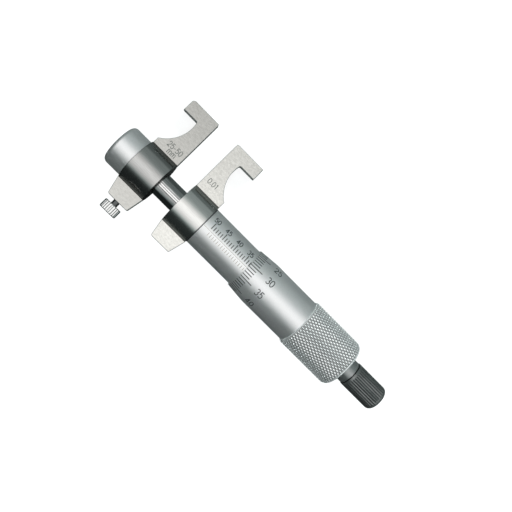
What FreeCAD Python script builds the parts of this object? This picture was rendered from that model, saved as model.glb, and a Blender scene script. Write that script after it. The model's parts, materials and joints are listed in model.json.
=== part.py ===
import FreeCAD, Part
import math
import os

# Inside micrometer with two caliper jaws, lying on its grip, its moving collar and the tip of the moving jaw.
# Millimetres. Each piece is drawn in the tool's own frame: +X along the measuring screw towards the ratchet,
# +Y towards the jaw tips, +Z out of the jaws' upper faces, with x = 0 at the fixed collar's right face.
# The last step turns the finished pieces into the way the tool lies, +Z up.

# Measuring range, reading at rest and screw
range_low = 25.0
range_high = 50.0
reading = 32.82
screw_pitch = 0.5
first_mark = 3.0            # from the fixed collar to the mark of the largest reading

# Fits
running_gap = 0.03          # radial clearance of every sliding or turning fit
end_float = 0.03            # axial clearance of every turning shoulder
thimble_gap = 0.08          # radial clearance of the thimble over the sleeve
key_gap = 0.03              # clearance of the guide key on each side of its keyway
small_step = 0.2            # between the radii of neighbouring bores, rings and necks

# Jaws
jaw_thickness = 3.2
jaw_reach = 27.7            # from the screw's axis to the tips
measuring_face_height = 4.65
arm_width = 5.4             # at its narrowest
recess_radius = 12.0
recess_drop = 2.7           # from the hook's underside to the recess's centre
recess_corner_radius = 0.6
crown_radius = 10.0         # of the measuring faces, across the jaw
tip_corner_radius = 0.4
moving_tip_corner_radius = 1.3
tail_reach = 14.25
tail_outer_inset = 1.5
tail_inner_inset = 1.1
tail_corner_radius = 0.6
collar_diameter = 16.5
fixed_collar_length = 10.6
moving_collar_length = 11.0
fixed_overhang = 1.5        # of the measuring face past the collar's end
moving_overhang = 0.85

# End cap and what it covers
spigot_diameter = 13.0
spigot_length = 2.6
cap_side_wall = 1.0
cap_end_wall = 1.0
cap_edge_radius = 1.5
cap_room = 0.85             # past the screw's end
washer_diameter = 9.6
washer_thickness = 0.6
nut_across_flats = 7.0
nut_thickness = 2.2
screw_end_diameter = 3.6
screw_end_stand_out = 0.4

# Guide tube and key
tube_diameter = 8.2
tube_overrun = 0.8          # past the fixed collar at the largest reading
keyway_width = 1.5
keyway_depth = 0.75
keyway_turn = 6.0           # degrees round the axis, from the jaws' upper faces towards the tails
keyway_run_in = 1.0         # inside the moving collar
key_length = 6.0
key_inset = 0.6             # from the fixed collar's left face
key_depth = 1.2             # of the key's seat, outside the tube

# Measuring screw
journal_diameter = 5.0
thread_diameter = 6.9
thread_relief_length = 2.0
thread_relief_depth = 0.3
seat_large_diameter = 7.4
seat_small_diameter = 6.4
seat_setback = 1.2          # of the screw's end inside the thimble's end
stud_hole_depth = 8.0

# Barrel, adjusting nut and graduated sleeve
barrel_wall = 2.07          # round the guide tube
barrel_spigot_step = 0.2    # of the spigot in the fixed collar, below the barrel
barrel_spigot_length = 4.0
nut_run_out = 0.4           # between the guide tube and the nut at the smallest reading
nut_length = 15.0
nut_taper_length = 4.5
nut_taper = 0.5             # radius lost over the taper
slot_count = 3
slot_width = 0.8
slot_length = 8.0
adjusting_nut_wall = 1.0
adjusting_nut_notch = 1.6
sleeve_wall = 1.2
sleeve_overlap = 4.0        # under the thimble at the smallest reading
spanner_hole_diameter = 1.5
spanner_hole_place = 5.5    # from the fixed collar, on the sleeve's underside

# Thimble
thimble_wall = 1.02
thimble_edge_wall = 0.37
thimble_web = 6.42          # the solid end that the measuring screw's taper seats in
bevel_length = 6.9
grip_rise = 0.7             # of the grip above the rest
grip_length = 21.82
grip_chamfer = 0.5
grip_end_radius = 1.9
barrel_end_gap = 3.0        # between barrel and thimble at the largest reading

# Clamp screw, its shoe and the fixed tail's set screw
clamp_diameter = 2.4
clamp_head_diameter = 6.6
clamp_head_height = 3.2
clamp_head_stand_off = 1.55 # from the tail's end
clamp_head_edge = 0.45
clamp_rib_count = 18
clamp_rib_depth = 0.22
clamp_lift = 0.12           # between shoe and screw journal at rest
shoe_length = 2.2
set_screw_inset = 0.7
set_screw_bite = 0.4
set_screw_socket = 1.3

# Ratchet
neck_inset = 0.25           # of the neck below the cap
neck_length = 3.6
ratchet_gap = 0.4
ratchet_cap_wall = 1.3
ratchet_cap_length = 13.5
ratchet_cap_end_radius = 1.8
ratchet_cap_lip = 0.07      # of flat end between the rounding and the screw's head
ratchet_rim = 0.9           # plain band beside the neck
ratchet_web = 1.6
rib_count = 24
rib_depth = 0.2
stud_diameter = 4.0
stud_length = 7.0
post_diameter = 3.3
tooth_count = 12
tooth_width = 0.8
tooth_height = 0.5
tooth_inner_diameter = 3.9
clutch_diameter = 6.3
clutch_clearance = 0.25     # radial, in the cap's bore
clutch_thickness = 2.0
clutch_lug_width = 1.4
clutch_lug_height = 0.55
spring_wire = 0.5
spring_turns = 3.0
spring_end_gap = 0.02       # so that the slanting coil clears the flat faces it presses on
spring_mean_diameter = 4.9
ratchet_screw_head_height = 1.2
ratchet_screw_diameter = 2.0
ratchet_screw_length = 5.0
screw_slot_width = 0.7
screw_slot_depth = 0.5
end_recess = 0.6            # of the screw's head inside the cap's end

# Radii that follow from the sizes above
tube_radius = tube_diameter / 2
barrel_radius = tube_radius + running_gap + barrel_wall
barrel_spigot_radius = barrel_radius - barrel_spigot_step
sleeve_radius = barrel_radius + sleeve_wall
thimble_bore_radius = sleeve_radius + thimble_gap
thimble_radius = thimble_bore_radius + thimble_wall
grip_radius = thimble_radius + grip_rise
ratchet_bore_radius = clutch_diameter / 2 + clutch_clearance
ratchet_radius = ratchet_bore_radius + ratchet_cap_wall
ratchet_head_radius = ratchet_radius - ratchet_cap_end_radius - ratchet_cap_lip - running_gap

# Places along the axis that follow from the sizes above
travel_in = reading - range_low
travel_out = range_high - reading
fixed_left = -fixed_collar_length
fixed_face = fixed_overhang
moving_face = fixed_face - reading
moving_left = moving_face + moving_overhang
moving_right = moving_left + moving_collar_length
spigot_face = moving_left - spigot_length
tube_end = travel_out + tube_overrun
nut_start = tube_end + travel_in + nut_run_out
barrel_end = nut_start + nut_length
sleeve_end = first_mark + range_high - range_low + sleeve_overlap
thimble_edge = first_mark + travel_out
thimble_floor = barrel_end + travel_out + barrel_end_gap
thimble_end = thimble_floor + thimble_web
grip_start = thimble_end - grip_length
screw_step = spigot_face - end_float
screw_left = screw_step - washer_thickness - nut_thickness - screw_end_stand_out
cap_face = screw_left - cap_room - cap_end_wall
screw_right = thimble_end - seat_setback
neck_end = thimble_end + neck_length
ratchet_left = neck_end + ratchet_gap
ratchet_right = ratchet_left + ratchet_cap_length
web_left = ratchet_right - end_recess - ratchet_screw_head_height - end_float - ratchet_web
web_right = web_left + ratchet_web
clamp_centre = (moving_left + moving_right) / 2
set_screw_centre = fixed_left / 2
clamp_head_start = tail_reach + clamp_head_stand_off
shoe_start = journal_diameter / 2 + clamp_lift
shoe_end = shoe_start + shoe_length
far = 200.0                 # longer than any cut needs

axis = FreeCAD.Vector(1, 0, 0)
origin = FreeCAD.Vector(0, 0, 0)


def rod(radius, start, end):
    """A round bar along the tool's axis."""
    return Part.makeCylinder(radius, end - start, FreeCAD.Vector(start, 0, 0), axis)


def radial_rod(radius, x, start, end):
    """A round bar square to the axis, on the tails' side, from start to end off the axis."""
    return Part.makeCylinder(radius, end - start, FreeCAD.Vector(x, -start, 0), FreeCAD.Vector(0, -1, 0))


def turned(profile):
    """A body turned about the axis from a closed outline of (x, radius) corners."""
    corners = [FreeCAD.Vector(x, 0, r) for x, r in profile]
    face = Part.Face(Part.makePolygon(corners + corners[:1]))
    return face.revolve(origin, axis, 360)


def end_round(x, radius, size, side):
    """Corners of a quarter round of the given size, at a turned body's rim, from its flank to its end face.

    side is 1 for an end that faces the ratchet and -1 for one that faces the jaws.
    """
    steps = 2
    turns = [math.pi / 2 * i / steps for i in range(steps + 1)]
    return [(x - side * size * (1 - math.sin(t)), radius - size * (1 - math.cos(t))) for t in turns]


def hexagon(centre, across_flats, across, along):
    """A closed six-sided outline about a centre, spread along two square directions."""
    radius = across_flats / 2 / math.cos(math.pi / 6)
    corners = []
    for i in range(7):
        angle = math.radians(60 * i)
        corners.append(centre + across * (radius * math.cos(angle)) + along * (radius * math.sin(angle)))
    return Part.makePolygon(corners)


def about_axis(shape, degrees):
    """A copy of the shape turned about the tool's axis."""
    copy = shape.copy()
    copy.rotate(origin, axis, degrees)
    return copy


def box(x, y, z):
    """A block between the (low, high) pairs of its three directions."""
    corner = FreeCAD.Vector(x[0], y[0], z[0])
    return Part.makeBox(x[1] - x[0], y[1] - y[0], z[1] - z[0], corner)


def edges_at(shape, places, tolerance=0.05):
    """The edges square to the jaws' faces that stand at the given (x, y) places."""
    found = []
    for edge in shape.Edges:
        if len(edge.Vertexes) != 2:
            continue
        a, b = [v.Point for v in edge.Vertexes]
        upright = abs(a.x - b.x) < tolerance and abs(a.y - b.y) < tolerance
        if upright and any(math.hypot(a.x - x, a.y - y) < tolerance for x, y in places):
            found.append(edge)
    return found


def jaw_plate(inner, outer, face, top_radius):
    """The flat arm with its hook and tail, between its inner and outer edges."""
    side = 1 if outer > inner else -1
    half = jaw_thickness / 2
    under = jaw_reach - measuring_face_height
    recess_height = under - recess_drop
    deepest = inner + side * arm_width
    centre = deepest + side * recess_radius
    foot = recess_height - math.sqrt(recess_radius ** 2 - (centre - outer) ** 2)
    throat = centre - side * math.sqrt(recess_radius ** 2 - (under - recess_height) ** 2)
    tail_root = -collar_diameter / 2

    def at(x, y):
        return FreeCAD.Vector(x, y, -half)

    tail = [at(outer, foot), at(outer, tail_root), at(outer - side * tail_outer_inset, -tail_reach)]
    tail += [at(inner + side * tail_inner_inset, -tail_reach), at(inner, tail_root), at(inner, jaw_reach)]
    hook = [at(inner, jaw_reach), at(face, jaw_reach), at(face, under), at(throat, under)]
    recess = Part.Arc(at(throat, under), at(deepest, recess_height), at(outer, foot)).toShape()
    wire = Part.Wire([*Part.makePolygon(tail + hook[1:]).Edges, recess])
    plate = Part.Face(wire).extrude(FreeCAD.Vector(0, 0, jaw_thickness))

    # the measuring face is crowned, so that it touches a bore along one line
    crown_axis = FreeCAD.Vector(face - side * crown_radius, under - 1, 0)
    crown = Part.makeCylinder(crown_radius, measuring_face_height + 2, crown_axis, FreeCAD.Vector(0, 1, 0))
    blank_x = sorted([face - side * crown_radius / 4, face + side])
    blank = box(blank_x, (under - 1, jaw_reach + 1), (-jaw_thickness, jaw_thickness))
    plate = plate.cut(blank.cut(crown))

    tail_ends = [(outer - side * tail_outer_inset, -tail_reach), (inner + side * tail_inner_inset, -tail_reach)]
    plate = plate.makeFillet(tail_corner_radius, edges_at(plate, tail_ends))
    plate = plate.makeFillet(recess_corner_radius, edges_at(plate, [(throat, under)]))
    plate = plate.makeFillet(tip_corner_radius, edges_at(plate, [(inner, jaw_reach)]))
    return rounded_tip(plate, face, side, top_radius)


def rounded_tip(plate, face, side, top_radius):
    """The plate with the outer corner of its tip rounded, by cutting away what lies outside the round."""
    centre = FreeCAD.Vector(face - side * top_radius, jaw_reach - top_radius, -jaw_thickness)
    corner = box(sorted([centre.x, face + side]), (centre.y, jaw_reach + 1), (-jaw_thickness, jaw_thickness))
    bar = Part.makeCylinder(top_radius, 2 * jaw_thickness, centre)
    return plate.cut(corner.cut(bar))


def keyway_block(start, end, low, high, width):
    """A bar along the axis at the keyway's angle, between two distances from the axis."""
    bar = box((start, end), (-width / 2, width / 2), (low, high))
    return about_axis(bar, keyway_turn)


def fixed_jaw():
    body = jaw_plate(fixed_left, 0, fixed_face, tip_corner_radius)
    body = body.fuse(rod(collar_diameter / 2, fixed_left, 0))
    body = body.cut(rod(tube_radius + running_gap, fixed_left - 1, 1))
    body = body.cut(rod(barrel_spigot_radius, -barrel_spigot_length, 1))
    key_seat = keyway_block(fixed_left + key_inset, 0, 0, tube_radius + key_depth, keyway_width)
    body = body.cut(key_seat)
    body = body.cut(radial_rod(clamp_diameter / 2, set_screw_centre, 0, far))
    return body.removeSplitter()


def moving_jaw():
    body = jaw_plate(moving_right, moving_left, moving_face, moving_tip_corner_radius)
    body = body.fuse(rod(collar_diameter / 2, moving_left, moving_right))
    body = body.fuse(rod(spigot_diameter / 2, spigot_face, moving_left + 1))
    body = body.cut(rod(tube_radius, spigot_face - 1, moving_right + 1))
    body = body.cut(radial_rod(clamp_diameter / 2 + running_gap, clamp_centre, 0, far))
    return body.removeSplitter()


def end_cap():
    radius = spigot_diameter / 2 + cap_side_wall
    rim = end_round(cap_face, radius, cap_edge_radius, -1)
    shell = turned([(moving_left, 0), (moving_left, radius), *rim, (cap_face, 0)])
    hollow = rod(spigot_diameter / 2 - small_step, cap_face + cap_end_wall, moving_left + 1)
    seat = rod(spigot_diameter / 2, spigot_face, moving_left + 1)
    return shell.cut(hollow.fuse(seat))


def guide_tube():
    tube = rod(tube_radius, spigot_face, tube_end)
    tube = tube.cut(rod(journal_diameter / 2 + running_gap, spigot_face - 1, tube_end + 1))
    floor = tube_radius - keyway_depth
    tube = tube.cut(keyway_block(moving_right - keyway_run_in, tube_end + 1, floor, tube_radius + 1, keyway_width))
    return tube.cut(radial_rod(clamp_diameter / 2 + running_gap, clamp_centre, 0, tube_radius + 1))


def guide_key():
    low = tube_radius - keyway_depth + key_gap
    high = tube_radius + key_depth
    start = fixed_left + key_inset
    return keyway_block(start, start + key_length, low, high, keyway_width - 2 * key_gap)


def spindle():
    step = screw_end_diameter / 2
    journal = journal_diameter / 2
    thread = thread_diameter / 2
    relief = thread - thread_relief_depth
    seat_large = seat_large_diameter / 2
    seat_small = seat_small_diameter / 2
    shoulder = tube_end + end_float
    thread_end = thimble_floor - thread_relief_length
    body = turned([
        (screw_left, 0), (screw_left, step), (screw_step, step), (screw_step, journal),
        (shoulder, journal), (shoulder, thread), (thread_end, thread), (thread_end, relief),
        (thimble_floor, relief), (thimble_floor, seat_large),
        (screw_right, seat_small), (screw_right, 0),
    ])
    return body.cut(rod(stud_diameter / 2, screw_right - stud_hole_depth, screw_right + 1))


def thrust_washer():
    left = screw_step - washer_thickness
    disc = rod(washer_diameter / 2, left, screw_step)
    return disc.cut(rod(screw_end_diameter / 2, left - 1, screw_step + 1))


def spindle_nut():
    left = screw_step - washer_thickness - nut_thickness
    outline = hexagon(FreeCAD.Vector(left, 0, 0), nut_across_flats, FreeCAD.Vector(0, 1, 0), FreeCAD.Vector(0, 0, 1))
    prism = Part.Face(outline).extrude(FreeCAD.Vector(nut_thickness, 0, 0))
    return prism.cut(rod(screw_end_diameter / 2, left - 1, left + nut_thickness + 1))


def barrel():
    radius = barrel_radius
    taper_start = barrel_end - nut_taper_length
    spigot = barrel_spigot_radius
    body = turned([
        (-barrel_spigot_length, 0), (-barrel_spigot_length, spigot), (0, spigot), (0, radius),
        (taper_start, radius), (barrel_end, radius - nut_taper), (barrel_end, 0),
    ])
    body = body.cut(rod(tube_radius + running_gap, -barrel_spigot_length - 1, nut_start))
    body = body.cut(rod(thread_diameter / 2 + running_gap, nut_start - 1, barrel_end + 1))
    key_end = fixed_left + key_inset + key_length
    if key_end > -barrel_spigot_length:
        slot = keyway_block(-barrel_spigot_length - 1, key_end, 0, tube_radius + key_depth, keyway_width)
        body = body.cut(slot)
    for i in range(slot_count):
        slit = box((barrel_end - slot_length, barrel_end + 1), (-slot_width / 2, slot_width / 2), (0, far))
        body = body.cut(about_axis(slit, 360 * i / slot_count))
    bite = radial_rod(clamp_diameter / 2, set_screw_centre, spigot - set_screw_bite, far)
    if set_screw_centre > -barrel_spigot_length:
        body = body.cut(bite)
    return body


def adjusting_nut():
    start = barrel_end - nut_taper_length
    nut = rod(barrel_radius + adjusting_nut_wall, start, barrel_end)
    bore = turned([(start, 0), (start, barrel_radius), (barrel_end, barrel_radius - nut_taper), (barrel_end, 0)])
    nut = nut.cut(bore)
    # two notches across the end face take the tool's spanner
    notch = box((barrel_end - adjusting_nut_notch / 2, barrel_end + 1), (-far, far), (0, adjusting_nut_notch))
    notch.translate(FreeCAD.Vector(0, 0, -adjusting_nut_notch / 2))
    return nut.cut(notch)


def graduated_sleeve():
    sleeve = rod(sleeve_radius, 0, sleeve_end)
    sleeve = sleeve.cut(rod(barrel_radius, -1, sleeve_end + 1))
    down = FreeCAD.Vector(0, 0, -1)
    hole = Part.makeCylinder(spanner_hole_diameter / 2, far, FreeCAD.Vector(spanner_hole_place, 0, 0), down)
    return sleeve.cut(hole)


def thimble():
    edge = thimble_bore_radius + thimble_edge_wall
    outer = [(thimble_edge, 0), (thimble_edge, edge), (thimble_edge + bevel_length, thimble_radius)]
    outer += [(grip_start, thimble_radius), (grip_start, grip_radius - grip_chamfer)]
    outer += [(grip_start + grip_chamfer, grip_radius)]
    outer += [*end_round(thimble_end, grip_radius, grip_end_radius, 1), (thimble_end, 0)]
    body = turned(outer).cut(rod(thimble_bore_radius, thimble_edge - 1, thimble_floor))
    seat = turned([
        (thimble_floor, 0), (thimble_floor, seat_large_diameter / 2), (screw_right, seat_small_diameter / 2),
        (thimble_end + 1, seat_small_diameter / 2), (thimble_end + 1, 0),
    ])
    return body.cut(seat)


def fluted(shape, count, depth, radius, start, end):
    """The shape with straight V grooves cut along a round surface about the tool's axis."""
    half = 0.92 * math.pi * radius / count
    reach = radius + depth
    tip = radius - depth
    groove_corners = [(0, tip), (half * 2, reach), (-half * 2, reach), (0, tip)]
    wire = Part.makePolygon([FreeCAD.Vector(start, y, z) for y, z in groove_corners])
    groove = Part.Face(wire).extrude(FreeCAD.Vector(end - start, 0, 0))
    grooves = [about_axis(groove, 360 * i / count) for i in range(count)]
    return shape.cut(Part.makeCompound(grooves))


def ribbed_head():
    """The clamp screw's head, along the axis from x = 0 outwards, with straight ribs round it."""
    radius = clamp_head_diameter / 2
    edge = clamp_head_edge
    blank = turned([
        (0, 0), (0, radius - edge), (edge, radius), (clamp_head_height - edge, radius),
        (clamp_head_height, radius - edge), (clamp_head_height, 0),
    ])
    return fluted(blank, clamp_rib_count, clamp_rib_depth, radius, -1, clamp_head_height + 1)


def clamp_screw():
    head = ribbed_head()
    head.rotate(origin, FreeCAD.Vector(0, 0, 1), -90)
    head.translate(FreeCAD.Vector(clamp_centre, -clamp_head_start, 0))
    shank = radial_rod(clamp_diameter / 2, clamp_centre, shoe_end, clamp_head_start + 1)
    return head.fuse(shank)


def clamp_shoe():
    return radial_rod(clamp_diameter / 2, clamp_centre, shoe_start, shoe_end)


def set_screw():
    start = barrel_spigot_radius - set_screw_bite
    end = tail_reach - set_screw_inset
    screw = radial_rod(clamp_diameter / 2, set_screw_centre, start, end)
    mouth = FreeCAD.Vector(set_screw_centre, -end, 0)
    outline = hexagon(mouth, set_screw_socket, axis, FreeCAD.Vector(0, 0, 1))
    return screw.cut(Part.Face(outline).extrude(FreeCAD.Vector(0, set_screw_socket, 0)))


def tooth(width, height, inner, outer):
    """One ratchet tooth on the face at x = 0: a ramp on one side and an upright wall on the other."""
    corners = [(0, -width / 2), (height, width / 2), (0, width / 2), (0, -width / 2)]
    wire = Part.makePolygon([FreeCAD.Vector(x, y, inner) for x, y in corners])
    return Part.Face(wire).extrude(FreeCAD.Vector(0, 0, outer - inner))


def ring_of_teeth(face, width, height, inner, outer):
    """The teeth of the ratchet's face coupling, spread evenly round the axis on the face at x = face."""
    one = tooth(width, height, inner, outer)
    one.translate(FreeCAD.Vector(face, 0, 0))
    return [about_axis(one, 360 * i / tooth_count) for i in range(tooth_count)]


def ratchet_base():
    post_end = web_right
    body = rod(ratchet_radius - neck_inset, thimble_end, neck_end)
    body = body.fuse(rod(stud_diameter / 2, screw_right - stud_length, thimble_end + 1))
    body = body.fuse(rod(post_diameter / 2, neck_end - 1, post_end))
    outer = clutch_diameter / 2 - small_step
    teeth = ring_of_teeth(neck_end, tooth_width, tooth_height, tooth_inner_diameter / 2, outer)
    body = body.fuse(teeth)
    return body.cut(rod(ratchet_screw_diameter / 2, post_end - ratchet_screw_length - 1, post_end + 1))


def ratchet_clutch():
    left = neck_end + end_float
    ring = rod(clutch_diameter / 2, left, left + clutch_thickness)
    reach = clutch_diameter / 2 + clutch_lug_height
    half = clutch_lug_width / 2
    lugs = box((left, left + clutch_thickness), (-half, half), (-reach, reach))
    ring = ring.fuse(lugs).cut(rod(post_diameter / 2 + running_gap, left - 1, left + clutch_thickness + 1))
    inner = tooth_inner_diameter / 2 - end_float
    wide = tooth_width + 4 * end_float
    grooves = ring_of_teeth(left, wide, tooth_height + end_float, inner, far / 2)
    return ring.cut(Part.makeCompound(grooves)).removeSplitter()


def ratchet_spring():
    """A coil spring between the clutch ring and the cap's web; six sides stand for its round wire."""
    seat = spring_wire / 2 + spring_end_gap
    start = neck_end + end_float + clutch_thickness + seat
    height = web_left - seat - start
    helix = Part.makeHelix(height / spring_turns, height, spring_mean_diameter / 2)
    section_at = FreeCAD.Vector(spring_mean_diameter / 2, 0, 0)
    section = hexagon(section_at, spring_wire, FreeCAD.Vector(1, 0, 0), FreeCAD.Vector(0, 0, 1))
    coil = Part.Wire(helix).makePipeShell([section], True, True)
    coil.rotate(origin, FreeCAD.Vector(0, 1, 0), 90)
    coil.translate(FreeCAD.Vector(start, 0, 0))
    return coil


def ratchet_cap():
    rim = ratchet_left + ratchet_rim
    end = end_round(ratchet_right, ratchet_radius, ratchet_cap_end_radius, 1)
    shell = turned([(ratchet_left, 0), (ratchet_left, ratchet_radius), *end, (ratchet_right, 0)])
    shell = fluted(shell, rib_count, rib_depth, ratchet_radius, rim, ratchet_right - ratchet_cap_end_radius)
    shell = shell.cut(rod(ratchet_bore_radius, ratchet_left - 1, web_left))
    reach = clutch_diameter / 2 + clutch_lug_height + running_gap
    half = clutch_lug_width / 2 + running_gap
    slot_end = neck_end + clutch_thickness + 3 * tooth_height
    shell = shell.cut(box((ratchet_left - 1, slot_end), (-half, half), (-reach, reach)))
    shell = shell.cut(rod(post_diameter / 2 + running_gap, web_left - 1, web_right + 1))
    return shell.cut(rod(ratchet_head_radius + running_gap, web_right, ratchet_right + 1))


def ratchet_screw():
    start = web_right
    seat = start + end_float
    end = seat + ratchet_screw_head_height
    head = rod(ratchet_head_radius, seat, end)
    collar_below_head = rod(post_diameter / 2, start, seat + small_step)
    shank = rod(ratchet_screw_diameter / 2, start - ratchet_screw_length, seat + small_step)
    slot = box((end - screw_slot_depth, end + 1), (-screw_slot_width / 2, screw_slot_width / 2), (-far, far))
    return head.fuse([collar_below_head, shank]).cut(slot)


def lying_pitch():
    """The axis's slope, in degrees, with the moving collar and the thicker grip both on the floor."""
    run = grip_start + grip_chamfer - moving_left
    return math.degrees(math.atan2(grip_radius - collar_diameter / 2, run))


def lying_roll():
    """The turn about the axis, in degrees, that brings the moving jaw's tip down to the floor."""
    slope = math.tan(math.radians(lying_pitch()))
    height = collar_diameter / 2 + (moving_face - moving_left) * slope
    reach = jaw_reach
    half = jaw_thickness / 2
    return math.degrees(math.asin(height / math.hypot(reach, half)) - math.atan2(half, reach))


def lying(shape):
    """The shape turned from the tool's frame into the way the tool lies."""
    copy = shape.copy()
    copy.rotate(origin, axis, -lying_roll())
    copy.rotate(origin, FreeCAD.Vector(0, 1, 0), -lying_pitch())
    return copy


def main():
    makers = [
        fixed_jaw, moving_jaw, end_cap, guide_tube, guide_key, set_screw, barrel, graduated_sleeve,
        adjusting_nut, spindle, thrust_washer, spindle_nut, thimble, clamp_screw, clamp_shoe,
        ratchet_base, ratchet_clutch, ratchet_spring, ratchet_cap, ratchet_screw,
    ]
    pieces = {make.__name__: lying(make()) for make in makers}
    bounds = Part.makeCompound(list(pieces.values())).optimalBoundingBox(False, False)
    shift = FreeCAD.Vector(-bounds.Center.x, -bounds.Center.y, -bounds.ZMin)
    os.makedirs("parts", exist_ok=True)
    for name, shape in pieces.items():
        shape.translate(shift)
        shape.exportStep("parts/" + name + ".step")
        print(name, "solids", len(shape.Solids), "volume", round(shape.Volume, 2), "valid", shape.isValid())
    print("roll", round(lying_roll(), 3), "pitch", round(lying_pitch(), 3))
    print("size", round(bounds.XLength, 2), round(bounds.YLength, 2), round(bounds.ZLength, 2))
    print("shift", [round(c, 4) for c in shift])


main()
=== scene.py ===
import json
import math
import bmesh
import bpy
import numpy as np
from mathutils import Euler, Matrix, Vector


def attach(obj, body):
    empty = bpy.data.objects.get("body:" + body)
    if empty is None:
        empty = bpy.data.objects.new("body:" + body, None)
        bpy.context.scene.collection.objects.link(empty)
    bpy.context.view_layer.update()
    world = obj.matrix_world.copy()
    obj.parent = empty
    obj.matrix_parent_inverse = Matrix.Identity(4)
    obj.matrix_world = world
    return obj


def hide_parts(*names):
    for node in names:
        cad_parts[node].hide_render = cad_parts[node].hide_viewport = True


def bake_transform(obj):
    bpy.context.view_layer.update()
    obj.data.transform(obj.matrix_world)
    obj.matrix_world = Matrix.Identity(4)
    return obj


# The looks of an inside micrometer, on the CAD model's frame. Sizes are millimetres in the tool's own
# directions: x along the measuring screw towards the ratchet, y towards the jaws' tips, z out of the
# jaws' upper faces. An angle round the axis is counted from z towards y.

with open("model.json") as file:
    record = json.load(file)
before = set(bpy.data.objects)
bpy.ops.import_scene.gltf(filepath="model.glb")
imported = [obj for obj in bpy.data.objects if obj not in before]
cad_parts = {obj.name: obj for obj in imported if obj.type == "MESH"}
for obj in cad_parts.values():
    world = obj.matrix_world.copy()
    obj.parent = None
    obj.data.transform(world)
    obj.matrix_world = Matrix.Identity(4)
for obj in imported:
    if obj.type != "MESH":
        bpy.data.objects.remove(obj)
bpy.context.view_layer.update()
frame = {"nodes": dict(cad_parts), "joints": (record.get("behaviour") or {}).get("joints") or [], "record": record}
print("frame loaded")

mm = 0.001
joints = {joint["name"]: joint for joint in frame["joints"]}
along = np.array(joints["thimble_turn"]["axis"])
tipward = np.array(joints["clamp_feed"]["axis"])
upward = np.cross(along, tipward)
axes = np.array([along, tipward, upward])
centre = np.array(joints["thimble_turn"]["pos_m"])


def verticesOf(mesh):
    # the mesh's vertices, a row each
    places = np.empty(len(mesh.vertices) * 3)
    mesh.vertices.foreach_get("co", places)
    return places.reshape(-1, 3)


def inTool(places):
    # places in the frame, in metres, as the tool's millimetres: their step from the centre, along each axis
    return (places - centre) @ axes.T / mm


def inFrame(points):
    # the tool's millimetres as places in the frame: the centre, and so far along each axis
    return centre + points * mm @ axes


def toolPoints(node):
    # a node's vertices in the tool's millimetres
    return inTool(verticesOf(frame["nodes"][node].data))


def span(node):
    # lowest and highest place along the axis, and the largest radius
    points = toolPoints(node)
    return points[:, 0].min(), points[:, 0].max(), np.hypot(points[:, 1], points[:, 2]).max()


def bodyOf(node):
    # the body that a node belongs to, the fixed one or one that moves
    return next(b for b, members in frame["record"]["behaviour"]["bodies"].items() if node in members)


# Surfaces

def skin(grid, closedRows=False):
    # faces over rows of points, where each row is a closed ring: a quad joins two neighbours of a row to
    # the two of the next row. The last row goes on to the first, or else both end rows are closed to
    # their middles
    rows, columns, _ = grid.shape
    index = np.arange(rows * columns).reshape(rows, columns)
    upper = index if closedRows else index[:-1]
    lower = np.roll(index, -1, axis=0) if closedRows else index[1:]
    quads = np.stack([upper, lower, np.roll(lower, -1, 1), np.roll(upper, -1, 1)], axis=-1)
    faces = quads.reshape(-1, 4).tolist()
    points = grid.reshape(-1, 3)
    if not closedRows:
        first = len(points)
        points = np.concatenate([points, grid[:1].mean(axis=1), grid[-1:].mean(axis=1)])
        faces += [[first, a, b] for a, b in zip(index[0], np.roll(index[0], -1))]
        faces += [[first + 1, b, a] for a, b in zip(index[-1], np.roll(index[-1], -1))]
    return points, faces


def outwards(points, faces):
    # the faces, turned round if the volume inside them, the sum of a . (b x c) over their triangles, comes
    # out below nothing
    corners = np.array([[f[0], f[k], f[k + 1]] for f in faces for k in range(1, len(f) - 1)])
    a, b, c = (points[corners[:, k]] for k in range(3))
    volume = np.einsum("ij,ij->i", a, np.cross(b, c)).sum()
    return points, faces if volume > 0 else [f[::-1] for f in faces]


def joined(parts):
    # several surfaces as one, each one's faces counted on from the points before it
    points = []
    faces = []
    start = 0
    for partPoints, partFaces in parts:
        points.append(partPoints)
        faces += [[start + i for i in face] for face in partFaces]
        start += len(partPoints)
    return np.concatenate(points), faces


def unit(vector):
    # the vector over its own length
    return vector / np.linalg.norm(vector)


def softened(corners, closed=False, steps=5, margin=0.04):
    # an outline of (x, radius, size) corners. Each one is rounded by an arc that starts and ends that far
    # from it, about a middle on the line that halves the corner. A point beside the arc, where there is
    # room for it, keeps the straight stretch's shading flat
    places = [np.array(c[:2], float) for c in corners]
    count = len(corners)
    outline = []
    for i, (place, corner) in enumerate(zip(places, corners)):
        size = corner[2]
        if size == 0 or (not closed and i in (0, count - 1)):
            outline.append(place)
            continue
        behind = (i - 1) % count
        ahead = (i + 1) % count
        back = unit(places[behind] - place)
        on = unit(places[ahead] - place)
        between = math.acos(max(-1, min(1, float(back @ on))))
        middle = place + unit(back + on) * size / math.cos(between / 2)
        start = place + back * size - middle
        end = place + on * size - middle
        turn = math.pi - between
        rounding = []
        for k in range(steps + 1):
            t = k / steps
            swung = start * math.sin((1 - t) * turn) + end * math.sin(t * turn)
            rounding.append(middle + swung / math.sin(turn))
        if np.linalg.norm(places[behind] - place) > size + corners[behind][2] + 3 * margin:
            rounding.insert(0, place + back * (size + margin))
        if np.linalg.norm(places[ahead] - place) > size + corners[ahead][2] + 3 * margin:
            rounding.append(place + on * (size + margin))
        outline += rounding
    return np.array(outline)


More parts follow.
